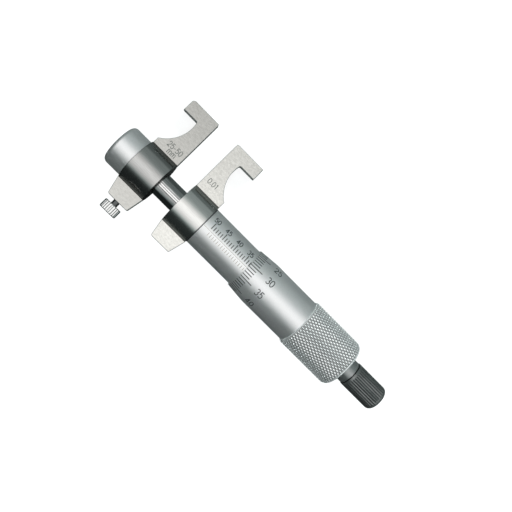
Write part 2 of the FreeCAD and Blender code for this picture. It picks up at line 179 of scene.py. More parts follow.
def turned(outline, columns, closed=False, relief=None):
    # the surface that an outline of (x, radius) points sweeps round the axis: y and z are the radius times
    # the sine and cosine of the angle, and relief(x, angle) adds to the radius. An open outline starts and
    # ends on the axis
    outline = np.asarray(outline, float)
    if not closed:
        outline = outline[1:-1]
    angle = 2 * math.pi * np.arange(columns) / columns
    x = outline[:, :1] + 0 * angle
    radius = outline[:, 1:] + 0 * angle
    if relief is not None:
        radius = radius + relief(x, angle + 0 * x)
    grid = np.stack([x, radius * np.sin(angle), radius * np.cos(angle)], axis=-1)
    points, faces = skin(grid, closed)
    if not closed:
        points[-2:, 1:] = 0
    return points, faces


def onRows(relief, first, last):
    # the relief on an outline's points from first up to last, and none on the others
    def limited(x, angle):
        height = relief(x, angle)
        height[:first] = 0
        height[last:] = 0
        return height
    return limited


def addPiece(name, body, material, parts, nodes=(), sharp=32):
    # a piece of one or more closed surfaces, each with its faces turned outwards
    points, faces = joined([outwards(*part) for part in parts])
    mesh = bpy.data.meshes.new(name)
    mesh.from_pydata(inFrame(points).tolist(), [], faces)
    return finishPiece(mesh, name, body, material, points, nodes, sharp)


def finishPiece(mesh, name, body, material, points, nodes, sharp):
    # shades the mesh smooth up to the angle sharp, keeps its places in the tool for the patterns, and
    # gives the piece its material and its body, and hides the nodes that it stands for
    mesh.update()
    mesh.shade_smooth()
    mesh.set_sharp_from_angle(angle=math.radians(sharp))
    place = mesh.attributes.new("tool", "FLOAT_VECTOR", "POINT")
    place.data.foreach_set("vector", np.asarray(points, np.float32).ravel())
    mesh.materials.append(material)
    piece = bpy.data.objects.new(name, mesh)
    bpy.context.scene.collection.objects.link(piece)
    if body is not None:
        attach(piece, body)
    if nodes:
        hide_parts(*nodes)
    return piece


def markHollows(piece, points, relief, deepest, gain):
    # keeps how deep each point lies in a groove, for painted shade that darkens the groove's colour: the relief's
    # share of the deepest, 0 to 1, raised to the power gain, which makes the painted dark narrower
    angle = np.arctan2(points[:, 1], points[:, 2]) % (2 * math.pi)
    depth = np.clip(-relief(points[:, 0], angle) / deepest, 0, 1) ** gain
    paintedGrooveShade = piece.data.attributes.new("paintedGrooveShade", "FLOAT", "POINT")
    paintedGrooveShade.data.foreach_set("value", np.asarray(depth, np.float32))


# Materials

def newMaterial(name):
    # a material, with its tree and its shader
    material = bpy.data.materials.new(name)
    material.use_nodes = True
    tree = material.node_tree
    return material, tree, tree.nodes["Principled BSDF"]


def socket(sockets, name, kind):
    # the one of that name and kind, because a Mix node has the same names for each kind
    return next(s for s in sockets if s.name == name and s.type == kind)


def feed(tree, entry, value):
    # gives an input another node's output, or a constant, where a colour's three values get a fourth
    if isinstance(value, bpy.types.NodeSocket):
        tree.links.new(value, entry)
    elif entry.type == "RGBA":
        entry.default_value = (*value, 1)
    else:
        entry.default_value = value


def newNode(tree, kind, inputs, **settings):
    # a node with its settings, and with its inputs fed by name or number
    node = tree.nodes.new(kind)
    for name, value in settings.items():
        setattr(node, name, value)
    for name, value in inputs.items():
        feed(tree, node.inputs[name], value)
    return node


def attributeOf(tree, name, output):
    # what a piece's own attribute says at the place
    return newNode(tree, "ShaderNodeAttribute", {}, attribute_name=name).outputs[output]


def reckoned(tree, operation, *values):
    # the result of one operation on numbers or other nodes' outputs
    return newNode(tree, "ShaderNodeMath", dict(enumerate(values)), operation=operation).outputs["Value"]


def noiseFactor(tree, source, scale, detail=3, fineness=0.6):
    # a noise over the source's places, times the scale along each direction
    place = newNode(tree, "ShaderNodeMapping", {"Vector": source, "Scale": scale}).outputs["Vector"]
    inputs = {"Vector": place, "Scale": 1, "Detail": detail, "Roughness": fineness}
    return newNode(tree, "ShaderNodeTexNoise", inputs).outputs["Fac"]


def ranged(tree, factor, low, high, start=0.3, end=0.7):
    # the factor's stretch from start to end, spread over low to high; a noise hardly leaves 0.3 to 0.7
    inputs = {"Value": factor, "From Min": start, "From Max": end, "To Min": low, "To Max": high}
    return newNode(tree, "ShaderNodeMapRange", inputs).outputs["Result"]


def mixedColour(tree, factor, low, high):
    # low where the factor is 0 and high where it is 1; each is a colour or another node's output
    node = newNode(tree, "ShaderNodeMix", {"Factor": factor}, data_type="RGBA")
    feed(tree, socket(node.inputs, "A", "RGBA"), low)
    feed(tree, socket(node.inputs, "B", "RGBA"), high)
    return socket(node.outputs, "Result", "RGBA")


def surface(name, colour, roughness, metallic=1.0, grain=(1, 1, 1), tint=0.06, blur=0.05, bump=0.0,
            edge=1.0, onNode=False, paintedGrooveShade=None, corner=None):
    # a metal or lacquer with one noise in it, whose cells are counted per millimetre by grain: its colour
    # varies by the share tint, its roughness by blur and its height by bump. edge is the share of its light
    # that a metal keeps at a grazing look, and a colour given for the grooves is painted shade laid into them.
    # corner = (near, far, share) is for a collar's painted shade: its colour falls to that share from the height
    # far down to near, towards the plate
    material, tree, shader = newMaterial(name)
    if onNode:
        source = tree.nodes.new("ShaderNodeTexCoord").outputs["Object"]
        grain = tuple(g / mm for g in grain)
    else:
        source = attributeOf(tree, "tool", "Vector")
    factor = noiseFactor(tree, source, grain)
    darker = tuple(c * (1 - tint) for c in colour)
    lighter = tuple(min(1, c * (1 + tint)) for c in colour)
    shade = mixedColour(tree, ranged(tree, factor, 0, 1), darker, lighter)
    # painted shade: the colour goes over to the darker groove colour as the piece's groove depth rises
    if paintedGrooveShade is not None:
        shade = mixedColour(tree, attributeOf(tree, "paintedGrooveShade", "Fac"), shade, paintedGrooveShade)
    # painted shade: the collar's colour darkens towards the plate that meets it, where shade falls in the corner
    if corner is not None:
        near, far, share = corner
        height = newNode(tree, "ShaderNodeSeparateXYZ", {"Vector": source}).outputs["Z"]
        paintedShadeFade = ranged(tree, reckoned(tree, "ABSOLUTE", height), 0, 1, near, far)
        shade = mixedColour(tree, paintedShadeFade, tuple(c * share for c in colour), shade)
    feed(tree, shader.inputs["Base Color"], shade)
    feed(tree, shader.inputs["Roughness"], ranged(tree, factor, roughness - blur, roughness + blur))
    shader.inputs["Metallic"].default_value = metallic
    shader.inputs["Specular Tint"].default_value = (edge, edge, edge, 1)
    if bump:
        relief = newNode(tree, "ShaderNodeBump", {"Distance": bump * mm, "Height": factor})
        tree.links.new(relief.outputs["Normal"], shader.inputs["Normal"])
    return material


groundPlate = dict(grain=(1, 1.7, 1), tint=0.12, bump=0.004, edge=0.1)
satinChrome = surface("satin_chrome", (0.73, 0.73, 0.73), 0.41, metallic=0.965, grain=(9, 1.2, 1.2),
                      bump=0.002)
# the knurl's grooves get painted shade, nearly black at their bottoms
knurledChrome = surface("knurled_chrome", (0.78, 0.78, 0.78), 0.22, metallic=0.8, grain=(3, 3, 3),
                        paintedGrooveShade=(0.07, 0.07, 0.07))
fixedSteel = surface("fixed_steel", (0.64, 0.635, 0.60), 0.22, **groundPlate)
# the moving jaw's plate: the fixed jaw's ground steel made darker, painted shade for the dimmer light at its end
movingSteelPaintedShade = surface("moving_steel_painted_shade", (0.48, 0.475, 0.45), 0.24, **groundPlate)
# the jaws' bevels and side walls: rougher steel, and its dark colour is painted shade for their dark outlines
edgeSteelPaintedShade = surface("edge_steel_painted_shade", (0.27, 0.27, 0.26), 0.4, metallic=0.8, grain=(4, 4, 4), tint=0.2)
# both collars carry painted shade through corner, darker towards the plates that meet them
fixedCollar = surface("fixed_collar", (0.66, 0.66, 0.64), 0.15, grain=(0.3, 5, 5), tint=0.05, blur=0.03,
                      edge=0.2, corner=(1.7, 3.2, 0.2))
# the moving jaw's collar: the fixed collar's steel made darker, painted shade for the dimmer light at its end
movingCollarPaintedShade = surface("moving_collar_painted_shade", (0.44, 0.44, 0.43), 0.17, grain=(0.3, 5, 5), tint=0.08, blur=0.03,
                       edge=0.3, corner=(1.7, 3.2, 0.3))
# the guide tube's polished steel, darkened to about half of the keyway floor's colour: painted shade for the rod
# between the jaws
polishedTubePaintedShade = surface("polished_tube_painted_shade", (0.34, 0.35, 0.345), 0.09, grain=(0.25, 7, 7), tint=0.45, blur=0.04)
keywayFloor = surface("keyway_floor", (0.68, 0.68, 0.67), 0.12, grain=(0.4, 9, 9), tint=0.08, blur=0.03)
brightSteel = surface("bright_steel", (0.70, 0.70, 0.69), 0.22, grain=(4, 4, 4))
darkSteel = surface("dark_steel", (0.10, 0.105, 0.105), 0.3, grain=(1, 6, 6), tint=0.2)
# the flutes' grooves get painted shade, darker than the oxide itself
blackOxide = surface("black_oxide", (0.16, 0.168, 0.166), 0.3, metallic=0.93, grain=(0.5, 7, 7), tint=0.3,
                     paintedGrooveShade=(0.03, 0.032, 0.032))
inlay = surface("inlay", (0.012, 0.013, 0.014), 0.5, metallic=0, grain=(3, 3, 3), tint=0.3)
# a paler ink for the index line and the half marks: painted highlight for the glare on the sleeve where they lie
inlayPaintedHighlight = surface("inlay_painted_highlight", (0.17, 0.145, 0.125), 0.5, metallic=0, grain=(3, 3, 3), tint=0.2)
engraved = surface("engraved", (0.07, 0.067, 0.063), 0.5, metallic=0, grain=(3, 3, 3), tint=0.2)
screwSteel = surface("screw_steel", (0.45, 0.45, 0.44), 0.3, grain=(6, 1, 1), onNode=True)
neckSteel = surface("neck_steel", (0.25, 0.262, 0.26), 0.32, metallic=0.94, grain=(6, 2, 2), onNode=True)
darkScrew = surface("dark_screw", (0.18, 0.18, 0.18), 0.35, grain=(4, 4, 4), onNode=True)
plainBrass = surface("brass", (0.66, 0.47, 0.2), 0.3, grain=(4, 4, 4), onNode=True)
print("materials made")

# Lettering: single strokes on a cell that is 1 high, with its lower left corner at (0, 0)

lettering = dict(gap=0.18, condensed=0.85, proud=0.012, sunk=0.03, longest=0.25)


def arc(middle, radii, start, end, steps=14):
    # points of an ellipse: the middle, and the radii times the cosine and sine of angles from start to end
    angles = np.radians(np.linspace(start, end, steps + 1))
    return [(middle[0] + radii[0] * math.cos(a), middle[1] + radii[1] * math.sin(a)) for a in angles]


glyphs = {  # each one's width and strokes
    "0": (0.62, [arc((0.31, 0.5), (0.31, 0.5), 90, 450, 28)]),
    "1": (0.4, [[(0.06, 0.76), (0.3, 1.0), (0.3, 0.0)]]),
    "2": (0.62, [arc((0.31, 0.7), (0.29, 0.3), 170, -30) + [(0.02, 0.0), (0.62, 0.0)]]),
    "3": (0.62, [arc((0.3, 0.75), (0.26, 0.25), 150, -80), arc((0.3, 0.27), (0.3, 0.27), 80, -150)]),
    "4": (0.66, [[(0.47, 0.0), (0.47, 1.0), (0.0, 0.28), (0.66, 0.28)]]),
    "5": (0.62, [[(0.58, 1.0), (0.12, 1.0), (0.06, 0.54)] + arc((0.3, 0.33), (0.31, 0.33), 125, -150)]),
    "-": (0.4, [[(0.0, 0.45), (0.4, 0.45)]]),
    ".": (0.14, [[(0.07, 0.0), (0.07, 0.15)]]),
    "m": (0.7, [[(0.0, 0.0), (0.0, 0.62)], arc((0.175, 0.44), (0.175, 0.18), 180, 0) + [(0.35, 0.0)],
                arc((0.525, 0.44), (0.175, 0.18), 180, 0) + [(0.7, 0.0)]]),
}


def divided(line):
    # the line with points close enough together to follow a round surface
    points = [line[:1]]
    for a, b in zip(line[:-1], line[1:]):
        count = max(1, math.ceil(np.linalg.norm(b - a) / lettering["longest"]))
        points.append(a + (b - a) * np.arange(1, count + 1)[:, None] / count)
    return np.concatenate(points)


def ribbon(line, width, place, narrowest=0.3):
    # a closed band along a line of flat points, set on a surface by place(points, height). Its section
    # stands square to the mean of the two directions at a point, and is widened there by one over the
    # cosine of half the bend, so that the band keeps its width
    line = divided(np.asarray(line, float))
    closed = len(line) > 3 and np.allclose(line[0], line[-1], atol=1e-6)
    if closed:
        line = line[:-1]
        step = np.roll(line, -1, 0) - np.roll(line, 1, 0)
        mitre = np.ones(len(line))
    else:
        run = np.diff(line, axis=0)
        run = run / np.linalg.norm(run, axis=1)[:, None]
        step = np.concatenate([run[:1], run[:-1] + run[1:], run[-1:]])
        bend = np.einsum("ij,ij->i", run[:-1], run[1:]) if len(line) > 2 else np.empty(0)
        mitre = np.concatenate([[1], 1 / np.sqrt(np.maximum((1 + bend) / 2, narrowest)), [1]])
    step = step / np.linalg.norm(step, axis=1)[:, None]
    across = np.stack([-step[:, 1], step[:, 0]], axis=1) * (mitre * width / 2)[:, None]
    proud, sunk = lettering["proud"], lettering["sunk"]
    section = [place(line + across, proud), place(line - across, proud),
               place(line - across, -sunk), place(line + across, -sunk)]
    return skin(np.stack(section, axis=1), closed)


def words(text, height, width, place, align=0.5, drop=0.0):
    # the text's strokes as bands; align is the share of its length that lies before the point (0, 0), and
    # drop the share of its height that lies below it
    steps = [glyphs[c][0] * lettering["condensed"] + lettering["gap"] for c in text]
    start = -(sum(steps) - lettering["gap"]) * align
    bands = []
    for c, step in zip(text, steps):
        for stroke in glyphs[c][1]:
            line = (np.array(stroke) * (lettering["condensed"], 1) + (start, -drop)) * height
            bands.append(ribbon(line, width, place))
        start += step
    return bands


def onRound(radiusAt, x, angle):
    # places flat points (along x, round towards the tips) on a turned surface, about (x, angle in
    # degrees): the way round over the radius there is added to the angle, and the height to the radius
    def place(points, height):
        at = x + points[:, 0]
        radius = radiusAt(at) + height
        turn = math.radians(angle) + points[:, 1] / radiusAt(at)
        return np.stack([at, radius * np.sin(turn), radius * np.cos(turn)], axis=1)
    return place


def onPlate(x, y, z):
    # places flat points on a jaw's plate at the height z, about (x, y)
    def place(points, height):
        return np.stack([x + points[:, 0], y + points[:, 1], np.full(len(points), z + height)], axis=1)
    return place


# End cap, over the spigot of the moving jaw

cap = dict(rim=1.5, edge=0.15, wall=1.0, lip=0.2, near=0.01, columns=224, arcSteps=9)
capLeft, capRight, capRadius = span("end_cap")
jawPoints = toolPoints("moving_jaw")
spigotLeft = jawPoints[:, 0].min()
spigotRadius = np.hypot(*jawPoints[jawPoints[:, 0] < spigotLeft + cap["near"], 1:].T).max()
capInside = spigotRadius - cap["lip"]
capOutline = softened([
    (capLeft, 0, 0), (capLeft, capRadius, cap["rim"]), (capRight, capRadius, cap["edge"]),
    (capRight, spigotRadius, 0), (spigotLeft, spigotRadius, 0), (spigotLeft, capInside, 0),
    (capLeft + cap["wall"], capInside, 0), (capLeft + cap["wall"], 0, 0),
], steps=cap["arcSteps"])
addPiece("cap_shell", "moving_jaw", satinChrome, [turned(capOutline, cap["columns"])],
         ["end_cap"])

# Jaws: the frame's own solids with their edges broken, and collars shaded as true rounds

jaw = dict(
    edge=0.16, collarRadius=8.25, halfThickness=1.6,
    weld=0.0005, sameFace=0.5, sharpEdge=50,  # apart by less is one point; degrees within and between faces
    near=0.01, roundNear=0.02,  # how near a point lies to the plane or the round that it is on
    collarBand=0.2, wallBand=0.05,  # how far inside the collar's radius its bevels and plates' walls start
    endwise=0.99, sideways=0.1, upright=0.2,  # cosines: along the axis, round it, and of a wall's lean
    flatArea=1.5,  # a face past this is shaded flat
)


def edgesToBreak(work):
    # convex edges of the plates' faces, at half the thickness, and of the collars' rims, at their radius
    # and at one place along the axis
    chosen = []
    leastAngle = math.radians(jaw["sharpEdge"])
    for edge in work.edges:
        if len(edge.link_faces) != 2 or not edge.is_convex or edge.calc_face_angle() < leastAngle:
            continue
        a, b = (v.co for v in edge.verts)
        flat = abs(abs(a.z) - jaw["halfThickness"]) < jaw["near"] and abs(a.z - b.z) < jaw["near"]
        offRound = max(abs(math.hypot(v.y, v.z) - jaw["collarRadius"]) for v in (a, b))
        rim = offRound < jaw["roundNear"] and abs(a.x - b.x) < jaw["near"]
        if flat or rim:
            chosen.append(edge)
    return chosen


def shadeJaw(mesh, points):
    # the collar's round, its bevels and its end faces are metal 1, and the plates' side walls metal 2: a rougher
    # steel whose darker colour is painted shade, as on the plates' bevels. The normals point along the radius on
    # the collar's round, and along the face's own on large flat faces
    normals = np.empty(len(mesh.loops) * 3, np.float32)
    mesh.corner_normals.foreach_get("vector", normals)
    normals = normals.reshape(-1, 3)
    distance = np.hypot(points[:, 1], points[:, 2])
    radius = jaw["collarRadius"]
    for face in mesh.polygons:
        ring = list(face.vertices)
        loops = list(face.loop_indices)
        reach = distance[ring]
        endwise = abs(face.normal @ Vector(along))
        onCollar = reach.max() < radius + jaw["roundNear"]
        if onCollar and (reach.min() > radius - jaw["collarBand"] or endwise > jaw["endwise"]):
            face.material_index = 1
        if abs(face.normal @ Vector(upward)) < jaw["upright"] and reach.min() > radius - jaw["wallBand"]:
            face.material_index = 2
        if np.abs(reach - radius).max() < jaw["roundNear"] and endwise < jaw["sideways"]:
            normals[loops] = points[ring] * (0, 1, 1) / reach[:, None] @ axes
        elif face.area > jaw["flatArea"] * mm * mm:
            normals[loops] = face.normal
    mesh.normals_split_custom_set(normals.tolist())


def jawPiece(node, name, plateMetal, collarMetal):
    # the node's solid in the tool's millimetres, with its triangles joined to faces and its edges bevelled
    solid = frame["nodes"][node].data.copy()
    solid.vertices.foreach_set("co", inTool(verticesOf(solid)).ravel())
    work = bmesh.new()
    work.from_mesh(solid)
    bpy.data.meshes.remove(solid)
    bmesh.ops.remove_doubles(work, verts=work.verts, dist=jaw["weld"])
    bmesh.ops.dissolve_limit(work, angle_limit=math.radians(jaw["sameFace"]), verts=work.verts,
                             edges=work.edges)
    bmesh.ops.recalc_face_normals(work, faces=work.faces)
    # the plates' bevels take metal 2, the steel whose darker colour is painted shade
    bmesh.ops.bevel(work, geom=edgesToBreak(work), offset=jaw["edge"], offset_type="OFFSET", segments=2,
                    profile=0.5, affect="EDGES", clamp_overlap=False, material=2)
    mesh = bpy.data.meshes.new(name)
    work.to_mesh(mesh)
    work.free()
    points = verticesOf(mesh)
    mesh.vertices.foreach_set("co", inFrame(points).ravel())
    finishPiece(mesh, name, bodyOf(node), plateMetal, points, [node], 25)
    mesh.materials.append(collarMetal)
    mesh.materials.append(edgeSteelPaintedShade)
    shadeJaw(mesh, points)


# the moving jaw takes the darker copies of the jaw steel, painted shade
jawPiece("moving_jaw", "moving_jaw_plate", movingSteelPaintedShade, movingCollarPaintedShade)
jawPiece("fixed_jaw", "fixed_jaw_plate", fixedSteel, fixedCollar)
print("cap and jaws made")

# Guide tube with its keyway, and fine lines along the keyway's floor

tube = dict(keyWidth=1.5, keyDepth=0.75, keyAngle=-6.0, keyStart=-20.47, bore=2.53, lineWidth=0.16,
            lineDepth=0.12, level=0.99, columns=256)
tubeLeft, tubeRight, tubeRadius = span("guide_tube")
halfKey = tube["keyWidth"] / 2
halfLine = tube["lineWidth"] / 2
keyFloor = tubeRadius - tube["keyDepth"]
lineFloor = keyFloor - tube["lineDepth"]
keyEdge = math.asin(halfKey / tubeRadius)
sweep = np.linspace(keyEdge, 2 * math.pi - keyEdge, tube["columns"])
roundPart = np.stack([tubeRadius * np.sin(sweep), tubeRadius * np.cos(sweep)], axis=1)
notchPart = np.array([
    (-halfKey, lineFloor), (tube["lineWidth"] - halfKey, keyFloor), (-halfLine, keyFloor), (0, lineFloor),
    (halfLine, keyFloor), (halfKey - tube["lineWidth"], keyFloor), (halfKey, lineFloor),
])
plainPart = np.full(notchPart.shape, math.sqrt(tubeRadius ** 2 - halfKey ** 2))
plainPart[:, 0] = np.linspace(-halfKey, halfKey, len(notchPart) + 2)[1:-1]
plainPart = plainPart / np.linalg.norm(plainPart, axis=1)[:, None] * tubeRadius
notched = np.concatenate([roundPart, notchPart])
whole = np.concatenate([roundPart, plainPart])
inner = whole / np.linalg.norm(whole, axis=1)[:, None] * tube["bore"]
keyTurn = math.radians(tube["keyAngle"])


def sectionAt(x, section):
    # the section's (across, up) points at x, turned about the axis to the keyway's angle
    y = section[:, 0] * math.cos(keyTurn) + section[:, 1] * math.sin(keyTurn)
    z = -section[:, 0] * math.sin(keyTurn) + section[:, 1] * math.cos(keyTurn)
    return np.stack([np.full(len(y), x), y, z], axis=1)


tubeRows = [sectionAt(x, section) for x, section in (
    (tubeLeft, whole), (tube["keyStart"], whole), (tube["keyStart"], notched), (tubeRight, notched),
    (tubeRight, inner), (tubeLeft, inner),
)]
# the tube's round takes the darkened steel, painted shade; its keyway floor takes the brighter steel
tubePiece = addPiece("guide_tube_body", "moving_jaw", polishedTubePaintedShade,
                     [skin(np.array(tubeRows), True)], ["guide_tube"], sharp=25)
tubePiece.data.materials.append(keywayFloor)
floorNormal = Vector(np.array([0, math.sin(keyTurn), math.cos(keyTurn)]) @ axes)
halfDepth = (keyFloor + tubeRadius) / 2
for face in tubePiece.data.polygons:
    middle = inTool(np.array(face.center))
    if face.normal @ floorNormal > tube["level"] and math.hypot(middle[1], middle[2]) < halfDepth:
        face.material_index = 1

# Graduated sleeve, with a thin dark ring at the fixed jaw's collar that paints the shade in the joint

sleeve = dict(bore=6.2, edge=0.12, columns=224, jointWidth=0.32, jointProud=0.03, jointSunk=0.3)
sleeveLeft, sleeveRight, sleeveRadius = span("graduated_sleeve")
sleeveOutline = softened([
    (sleeveLeft, sleeve["bore"], 0), (sleeveLeft, sleeveRadius, sleeve["edge"]),
    (sleeveRight, sleeveRadius, sleeve["edge"]), (sleeveRight, sleeve["bore"], 0),
], closed=True)
sleeveTube = turned(sleeveOutline, sleeve["columns"], True)
addPiece("sleeve_tube", "fixed", satinChrome, [sleeveTube], ["graduated_sleeve"])

# a dark ring, a little proud of the sleeve, that paints the shade in the gap where the sleeve meets the collar
jointRight = sleeveLeft + sleeve["jointWidth"]
jointTop = sleeveRadius + sleeve["jointProud"]
jointFoot = sleeveRadius - sleeve["jointSunk"]
jointOutline = [
    (sleeveLeft, jointFoot), (sleeveLeft, jointTop), (jointRight, jointTop), (jointRight, jointFoot),
]
sleeveJointShade = turned(jointOutline, sleeve["columns"], True)
addPiece("sleeve_joint_painted_shade", "fixed", darkSteel, [sleeveJointShade])

# The sleeve's scale: whole millimetres above the index line, halves below it, and a numeral for every five

scale = dict(
    first=3.0, marks=26, highest=50, low=0.68, middle=2.28, high=3.33, width=0.3,
    halfLow=-1.8, halfHigh=-0.6, halfWidth=0.2, numeralHeight=1.75, numeralLow=3.55, numeralWidth=0.31,
    indexAngle=0.0, indexStart=0.3, indexEnd=31.6, indexWidth=0.13, markPoints=6, indexPoints=4,
)


def onSleeve(x, above=0.0):
    # on the sleeve at x, so far above the index line, round towards the tips
    angle = scale["indexAngle"] + math.degrees(above / sleeveRadius)
    return onRound(lambda at: sleeveRadius + 0 * at, x, angle)


def roundMark(x, low, high, width):
    # a mark round the sleeve, from low to high above the index line
    return ribbon([(0, t) for t in np.linspace(low, high, scale["markPoints"])], width, onSleeve(x))


indexLine = [(t, 0) for t in np.linspace(scale["indexStart"], scale["indexEnd"], scale["indexPoints"])]
bold = []
fine = [ribbon(indexLine, scale["indexWidth"], onSleeve(0))]
for i in range(scale["marks"]):
    x = scale["first"] + i
    top = scale["high"] if i % 5 == 0 else scale["middle"]
    bold.append(roundMark(x, scale["low"], top, scale["width"]))
    fine.append(roundMark(x + 0.5, scale["halfLow"], scale["halfHigh"], scale["halfWidth"]))
    if i % 5 == 0:
        bold += words(str(scale["highest"] - i), scale["numeralHeight"], scale["numeralWidth"],
                      onSleeve(x, scale["numeralLow"]))
addPiece("sleeve_scale", "fixed", inlay, bold)
# the fine marks take the paler ink, a painted highlight
addPiece("sleeve_fine_scale", "fixed", inlayPaintedHighlight, fine)
print("sleeve made")

# Thimble: a plain shell and a knurled grip round its end

thimble = dict(boreGap=0.08, edgeWall=0.37, wall=1.02, bevel=6.9, edge=0.08, bevelEdge=0.4, floor=61.38,
               seat=3.6, shellEnd=66.0, columns=224)
thimbleLeft, thimbleRight, gripRadius = span("thimble")
thimbleBore = sleeveRadius + thimble["boreGap"]
edgeRadius = thimbleBore + thimble["edgeWall"]
thimbleRadius = thimbleBore + thimble["wall"]
shellOutline = softened([
    (thimbleLeft, thimbleBore, 0), (thimbleLeft, edgeRadius, thimble["edge"]),
    (thimbleLeft + thimble["bevel"], thimbleRadius, thimble["bevelEdge"]),
    (thimble["shellEnd"], thimbleRadius, 0), (thimble["shellEnd"], thimble["seat"], 0),
    (thimble["floor"], thimble["seat"], 0), (thimble["floor"], thimbleBore, 0),
], closed=True)

grip = dict(length=21.82, chamfer=0.5, round=1.9, arcPoints=18, around=52, pitch=2.03, depth=0.28,
            perPitch=12, top=0.95, fade=0.3, plainRound=0.35, gain=1.3, hole=3.25, lap=0.1, sunk=0.5)
gripStart = thimbleRight - grip["length"]
knurlEnd = thimbleRight - grip["round"] * grip["plainRound"]


def knurl(x, angle):
    # pyramids between two families of slanting grooves, a triangle wave each, of which the lower one counts
    # and is cut off at the top. They fade out towards the grip's ends
    turns = grip["around"] * angle / (2 * math.pi)
    steps = (x - gripStart) / grip["pitch"]
    first = 1 - np.abs(2 * ((turns + steps) % 1) - 1)
    second = 1 - np.abs(2 * ((turns - steps) % 1) - 1)
    height = np.minimum(np.minimum(first, second) / grip["top"], 1)
    inside = np.minimum(x - gripStart, knurlEnd - x) / grip["fade"]
    return -grip["depth"] * (1 - height) * np.clip(inside, 0, 1)


gripInner = thimbleRadius - grip["sunk"]
gripFoot = thimble["shellEnd"] - grip["lap"]
flankEnd = thimbleRight - grip["round"]
flank = np.arange(gripStart + grip["chamfer"], flankEnd, grip["pitch"] / grip["perPitch"])
gripOutline = [(gripStart, gripInner), (gripStart, gripRadius - grip["chamfer"])]
gripOutline += [(x, gripRadius) for x in flank]
gripOutline += [(flankEnd + grip["round"] * math.sin(t), gripRadius - grip["round"] * (1 - math.cos(t)))
                for t in np.linspace(0, math.pi / 2, grip["arcPoints"])]
gripOutline += [(thimbleRight, grip["hole"]), (gripFoot, grip["hole"]), (gripFoot, gripInner)]
gripSurface = turned(gripOutline, grip["around"] * grip["perPitch"], True, onRows(knurl, 2, -3))
addPiece("thimble_shell", "thimble", satinChrome,
         [turned(shellOutline, thimble["columns"], True)])
gripPiece = addPiece("thimble_grip", "thimble", knurledChrome, [gripSurface], ["thimble"],
                     sharp=60)
# groove depths for the painted shade in the knurl
markHollows(gripPiece, gripSurface[0], knurl, grip["depth"], grip["gain"])

# The thimble's divisions on its bevel, and a numeral for every five

divisions = dict(
    count=50, atIndex=31.85,  # how many there are, and the one that stands at the index line
    start=0.05, short=3.15, long=5.0, width=0.3, points=3,
    numeralStart=7.3, numeralHeight=2.3, numeralWidth=0.3,
)


def bevelRadius(at):
    # the thimble's radius: it grows evenly along the bevel and stays the same after it
    share = np.clip((at - thimbleLeft) / thimble["bevel"], 0, 1)
    return edgeRadius + (thimbleRadius - edgeRadius) * share


marks = []
for i in range(divisions["count"]):
    angle = scale["indexAngle"] + (divisions["atIndex"] - i) * 360 / divisions["count"]
    markEnd = divisions["long"] if i % 5 == 0 else divisions["short"]
    line = [(t, 0) for t in np.linspace(divisions["start"], markEnd, divisions["points"])]
    marks.append(ribbon(line, divisions["width"], onRound(bevelRadius, thimbleLeft, angle)))
    if i % 5 == 0:
        onBody = onRound(bevelRadius, thimbleLeft + divisions["numeralStart"], angle)
        marks += words(str(i), divisions["numeralHeight"], divisions["numeralWidth"], onBody,
                       align=0, drop=0.5)
addPiece("thimble_scale", "thimble", inlay, marks)
print("thimble made")

# Engraved range, unit and division on the jaws: each line's height, stroke width and place

engraving = {
    "moving_jaw": (("25-50", 1.85, 0.28, -23.9, 10.6), ("mm", 2.25, 0.26, -23.7, 8.6)),
    "fixed_jaw": (("0.01", 1.8, 0.26, -7.1, 11.3),),
}
for node, lines in engraving.items():
    bands = []
    for text, height, width, x, y in lines:
        bands += words(text, height, width, onPlate(x, y, jaw["halfThickness"]))
    addPiece(node + "_words", bodyOf(node), engraved, bands)

# Clamp screw: a head with straight ribs and a plain shank, along -y

clamp = dict(shank=1.2, shankEdge=0.1, lap=0.2, headHeight=3.2, edge=0.4, ribs=22, ribDepth=0.2,
             ribFlat=0.6, fade=0.35, perRib=12, shankColumns=64)
clampPoints = toolPoints("clamp_screw")
clampCentre = (clampPoints[:, 0].min() + clampPoints[:, 0].max()) / 2
clampRadius = (clampPoints[:, 0].max() - clampPoints[:, 0].min()) / 2
clampStart = -clampPoints[:, 1].max()
clampEnd = -clampPoints[:, 1].min()
headStart = clampEnd - clamp["headHeight"]


def ribs(x, angle):
    # a cosine wave round the head, raised to a power that broadens its tops, and fading out at the ends
    wave = 0.5 - 0.5 * np.cos(clamp["ribs"] * angle)
    fade = np.clip(np.minimum(x - headStart, clampEnd - x) / clamp["fade"], 0, 1)
    return -clamp["ribDepth"] * (1 - wave ** clamp["ribFlat"]) * fade


def aboutClamp(points, faces):
    # a turned surface, set about the clamp screw's own axis: its x runs along -y there
    return np.stack([clampCentre + points[:, 1], -points[:, 0], points[:, 2]], axis=1), faces


headOutline = softened([
    (headStart, 0, 0), (headStart, clampRadius, clamp["edge"]), (clampEnd, clampRadius, clamp["edge"]),
    (clampEnd, 0, 0),
])
shankEnd = headStart + clamp["lap"]
shankOutline = softened([
    (clampStart, 0, 0), (clampStart, clamp["shank"], clamp["shankEdge"]), (shankEnd, clamp["shank"], 0),
    (shankEnd, 0, 0),
])
clampHead = aboutClamp(*turned(headOutline, clamp["ribs"] * clamp["perRib"], relief=ribs))
clampShank = aboutClamp(*turned(shankOutline, clamp["shankColumns"]))
addPiece("clamp_screw_head", "clamp_screw", brightSteel, [clampHead], ["clamp_screw"])
addPiece("clamp_screw_shank", "clamp_screw", darkSteel, [clampShank])

# Ratchet cap: a fluted sleeve with a web inside, which the base's post goes through

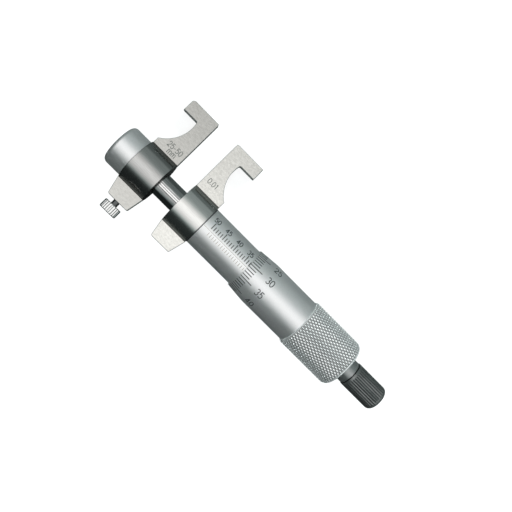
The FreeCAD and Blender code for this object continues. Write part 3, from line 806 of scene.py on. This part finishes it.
ratchet = dict(flutes=32, fluteDepth=0.2, perFlute=10, fluteStart=0.15, fluteEnd=0.8, gain=2, rim=0.9,
               round=1.8, plainRound=0.5, bore=3.4, web=1.6, recess=2.73, post=1.68, edge=0.12, arcSteps=10)
ratchetLeft, ratchetRight, ratchetRadius = span("ratchet_cap")
rimRight = ratchetLeft + ratchet["rim"]
fluteRight = ratchetRight - ratchet["round"] * ratchet["plainRound"]
webRight = span("ratchet_base")[1]
webLeft = webRight - ratchet["web"]


def flutes(x, angle):
    # a triangle wave round the cap, that comes in after the rim and fades out on the rounded end
    wave = np.abs(2 * ((ratchet["flutes"] * angle / (2 * math.pi)) % 1) - 1)
    fluted = np.clip((x - rimRight) / ratchet["fluteStart"], 0, 1)
    fluted = fluted * np.clip((fluteRight - x) / ratchet["fluteEnd"], 0, 1)
    return -ratchet["fluteDepth"] * (1 - wave) * fluted


outerCorners = [
    (ratchetLeft, ratchet["bore"], 0), (ratchetLeft, ratchetRadius, ratchet["edge"]),
    (rimRight, ratchetRadius, 0), (rimRight + ratchet["fluteStart"], ratchetRadius, 0),
    (ratchetRight, ratchetRadius, ratchet["round"]),
]
innerCorners = [
    (ratchetRight, ratchet["recess"], 0), (webRight, ratchet["recess"], 0), (webRight, ratchet["post"], 0),
    (webLeft, ratchet["post"], 0), (webLeft, ratchet["bore"], 0),
]
ratchetOutline = softened(outerCorners + innerCorners, closed=True, steps=ratchet["arcSteps"])
ratchetSurface = turned(ratchetOutline, ratchet["flutes"] * ratchet["perFlute"], True,
                        onRows(flutes, 1, -len(innerCorners)))
ratchetPiece = addPiece("ratchet_sleeve", "ratchet_cap", blackOxide, [ratchetSurface],
                        ["ratchet_cap"], sharp=40)
# groove depths for the painted shade in the flutes
markHollows(ratchetPiece, ratchetSurface[0], flutes, ratchet["fluteDepth"], ratchet["gain"])

# Ratchet spring: a round wire wound round the axis, pressed together between the cap's web and the clutch

spring = dict(wire=0.5, turns=3, radius=2.45, steps=150, sides=14)
springLeft, springRight, _ = span("ratchet_spring")


def coil():
    # the wire's middle runs along a helix, and its round section stands across the helix's direction
    radius = spring["radius"]
    halfWire = spring["wire"] / 2
    turn = np.linspace(0, 2 * math.pi * spring["turns"], spring["steps"])[:, None, None]
    rise = (springRight - springLeft - spring["wire"]) / (2 * math.pi * spring["turns"])
    outward = np.concatenate([0 * turn, np.sin(turn), np.cos(turn)], axis=2)
    forward = np.concatenate([0 * turn + rise, radius * np.cos(turn), -radius * np.sin(turn)], axis=2)
    sideways = np.cross(forward / math.hypot(rise, radius), outward)
    middle = outward * radius
    middle[..., :1] = springLeft + halfWire + rise * turn
    section = 2 * math.pi * np.arange(spring["sides"])[:, None] / spring["sides"]
    return skin(middle + halfWire * (outward * np.cos(section) + sideways * np.sin(section)))


springPiece = addPiece("ratchet_coil", None, darkSteel, [coil()], ["ratchet_spring"])
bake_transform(springPiece)

# Pieces inside keep the frame's solids

for node, material in {
    "guide_key": screwSteel, "set_screw": screwSteel, "barrel": screwSteel, "adjusting_nut": screwSteel,
    "spindle": screwSteel, "thrust_washer": screwSteel, "spindle_nut": screwSteel, "clamp_shoe": plainBrass,
    "ratchet_base": neckSteel, "ratchet_clutch": screwSteel, "ratchet_screw": darkScrew,
}.items():
    data = frame["nodes"][node].data
    data.materials.clear()
    data.materials.append(material)
print("clamp and ratchet made")

# Floor, light tent, lamps and camera, about the tool's centre, with places in millimetres along the
# frame's directions

stage = dict(
    extent=3000.0, floor=(0.95, 0.95, 0.95), floorWhite=0.88,  # the floor's half side, colour, white share
    sky=(0.85, 1, 0.99), skyLight=0.4, dimCloth=(0.8, 1, 0.985), lampColour=(0.9, 1, 0.995),
    lean=7.97,  # degrees about the tool's axis, for the tent's light and the camera
)


def sheet(name, rows, material, glow=None):
    # a surface over rows of places, for the stage; glow is the light that each point gives to reflections
    count, wide, _ = rows.shape
    index = np.arange(count * wide).reshape(count, wide)
    faces = np.stack([index[:-1, :-1], index[:-1, 1:], index[1:, 1:], index[1:, :-1]], axis=-1)
    mesh = bpy.data.meshes.new(name)
    mesh.from_pydata((rows.reshape(-1, 3) * mm + centre).tolist(), [], faces.reshape(-1, 4).tolist())
    mesh.materials.append(material)
    if glow is not None:
        mesh.attributes.new("glow", "FLOAT", "POINT").data.foreach_set("value", glow.ravel())
    thing = bpy.data.objects.new(name, mesh)
    bpy.context.scene.collection.objects.link(thing)
    return thing


def whiteFloor():
    # a pale floor that takes shadow; camera, mirror and glass rays see most of it as plain white
    material, tree, shader = newMaterial("white_floor")
    feed(tree, shader.inputs["Base Color"], stage["floor"])
    shader.inputs["Roughness"].default_value = 1
    shader.inputs["Specular IOR Level"].default_value = 0
    path = tree.nodes.new("ShaderNodeLightPath")
    seen = path.outputs["Is Camera Ray"]
    for ray in ("Is Glossy Ray", "Is Transmission Ray"):
        seen = reckoned(tree, "MAXIMUM", seen, path.outputs[ray])
    share = reckoned(tree, "MULTIPLY", seen, stage["floorWhite"])
    white = tree.nodes.new("ShaderNodeEmission")
    inputs = {"Fac": share, 1: shader.outputs["BSDF"], 2: white.outputs["Emission"]}
    mix = newNode(tree, "ShaderNodeMixShader", inputs)
    tree.links.new(mix.outputs["Shader"], tree.nodes["Material Output"].inputs["Surface"])
    return material


def tentCloth():
    # the light tent's cloth gives the light painted on it, a little colder where it is dim
    material, tree, shader = newMaterial("tent_cloth")
    tree.nodes.remove(shader)
    glow = attributeOf(tree, "glow", "Fac")
    colour = mixedColour(tree, glow, stage["dimCloth"], (1, 1, 1))
    light = newNode(tree, "ShaderNodeEmission", {"Color": colour, "Strength": glow})
    tree.links.new(light.outputs["Emission"], tree.nodes["Material Output"].inputs["Surface"])
    return material


floorHeight = -centre[2] / mm
ground = [[(x, y, floorHeight) for x in (-stage["extent"], stage["extent"])]
          for y in (-stage["extent"], stage["extent"])]
sheet("floor", np.array(ground), whiteFloor())

# The tent runs along the tool: white overhead, a black side behind and a grey one before the jaws' tips.
# Its light is given by the direction in degrees, from straight up towards the tips
tent = dict(
    radius=300, halfLength=420, floorGap=0.25, turns=181,
    light={-90: 0.03, -64: 0.035, -55: 0.06, -48: 0.12, -42: 0.34, -35: 0.66, -27: 0.93, -18: 1.15,
           -8: 1.35, 0: 1.42, 8: 1.42, 12: 1.3, 18: 1.12, 28: 0.88, 36: 0.62, 44: 0.44, 55: 0.36,
           75: 0.34, 90: 0.32},
    blackFloor=(-9, 0.03), greyFloor=(9, 0.17),  # each floor strip's start beside the tool, and its light
    leftEnd=0.2, rightEnd=0.42,
)
tentRadius = tent["radius"]
tentHalf = tent["halfLength"]
lift = floorHeight + tent["floorGap"]
turns = np.linspace(-90, 90, tent["turns"])
lights = np.interp(turns - stage["lean"], list(tent["light"]), list(tent["light"].values()))
blackStart, blackLight = tent["blackFloor"]
greyStart, greyLight = tent["greyFloor"]
radians = np.radians(turns)
hoop = [(blackStart, lift, blackLight), (-tentRadius, lift, blackLight)]
hoop += list(zip(tentRadius * np.sin(radians), tentRadius * np.cos(radians), lights))
hoop += [(tentRadius, lift, greyLight), (greyStart, lift, greyLight)]
hoop = np.array(hoop + hoop[:1])
cloth = tentCloth()
walls = np.array([[(x, y, z) for y, z, _ in hoop] for x in (-tentHalf, tentHalf)])
tentPieces = [sheet("light_tent", walls, cloth, np.array([hoop[:, 2]] * 2))]
for name, x, light in (("left_end", -tentHalf, tent["leftEnd"]), ("right_end", tentHalf, tent["rightEnd"])):
    corners = np.array([[(x, y, z) for z in (lift, tentRadius)] for y in (-tentRadius, tentRadius)])
    tentPieces.append(sheet(name, corners, cloth, np.full((2, 2), light)))
for thing in tentPieces:
    thing.visible_camera = False
    thing.visible_diffuse = False
    thing.visible_transmission = False
    thing.visible_shadow = False

world = bpy.data.worlds.new("studio")
bpy.context.scene.world = world
world.use_nodes = True
world.cycles.sampling_method = "NONE"
sky = world.node_tree
dimSky = sky.nodes["Background"]
feed(sky, dimSky.inputs["Color"], stage["sky"])
feed(sky, dimSky.inputs["Strength"], stage["skyLight"])
whiteSky = newNode(sky, "ShaderNodeBackground", {"Color": (1, 1, 1)})
cameraRay = sky.nodes.new("ShaderNodeLightPath").outputs["Is Camera Ray"]
skyInputs = {"Fac": cameraRay, 1: dimSky.outputs["Background"], 2: whiteSky.outputs["Background"]}
skyMix = newNode(sky, "ShaderNodeMixShader", skyInputs)
sky.links.new(skyMix.outputs["Shader"], sky.nodes["World Output"].inputs["Surface"])

# Lamps that light only what scatters their light: one overhead, one before the jaws' tips and one behind
lamps = {  # each one's place, side and power
    "softbox": ((20, 120, 400), 360, 1.6),
    "side_fill": ((20, 360, 110), 200, 4.4),
    "back_fill": ((20, -330, 160), 200, 3),
}
for name, (place, size, power) in lamps.items():
    lamp = bpy.data.lights.new(name, "AREA")
    lamp.size = size * mm
    lamp.energy = power
    lamp.color = stage["lampColour"]
    holder = bpy.data.objects.new(name, lamp)
    bpy.context.scene.collection.objects.link(holder)
    holder.location = Vector(centre) + Vector(place) * mm
    holder.rotation_euler = Vector(place).to_track_quat("Z", "Y").to_euler()
    holder.visible_camera = False
    holder.visible_glossy = False

view = dict(
    offset=(-1.965, 5.525, 214.48), turn=(-4.179, -4.158, 45.266),  # millimetres, degrees, before the lean
    focal=639.8, image=512,  # focal length and image width, in the image's own pixels
    sensor=36, nearest=0.005,  # in millimetres, and in metres
)
lens = bpy.data.cameras.new("camera")
lens.sensor_width = view["sensor"]
lens.lens = view["sensor"] * view["focal"] / view["image"]
lens.clip_start = view["nearest"]
camera = bpy.data.objects.new("camera", lens)
bpy.context.scene.collection.objects.link(camera)
leaning = Matrix.Rotation(math.radians(-stage["lean"]), 3, along)
aim = Euler([math.radians(a) for a in view["turn"]], "XYZ").to_matrix()
camera.location = Vector(centre) + leaning @ Vector(view["offset"]) * mm
camera.rotation_euler = (leaning @ aim).to_euler()
bpy.context.scene.camera = camera
bpy.context.scene.view_settings.view_transform = "Standard"
print("floor, tent, lamps and camera made")
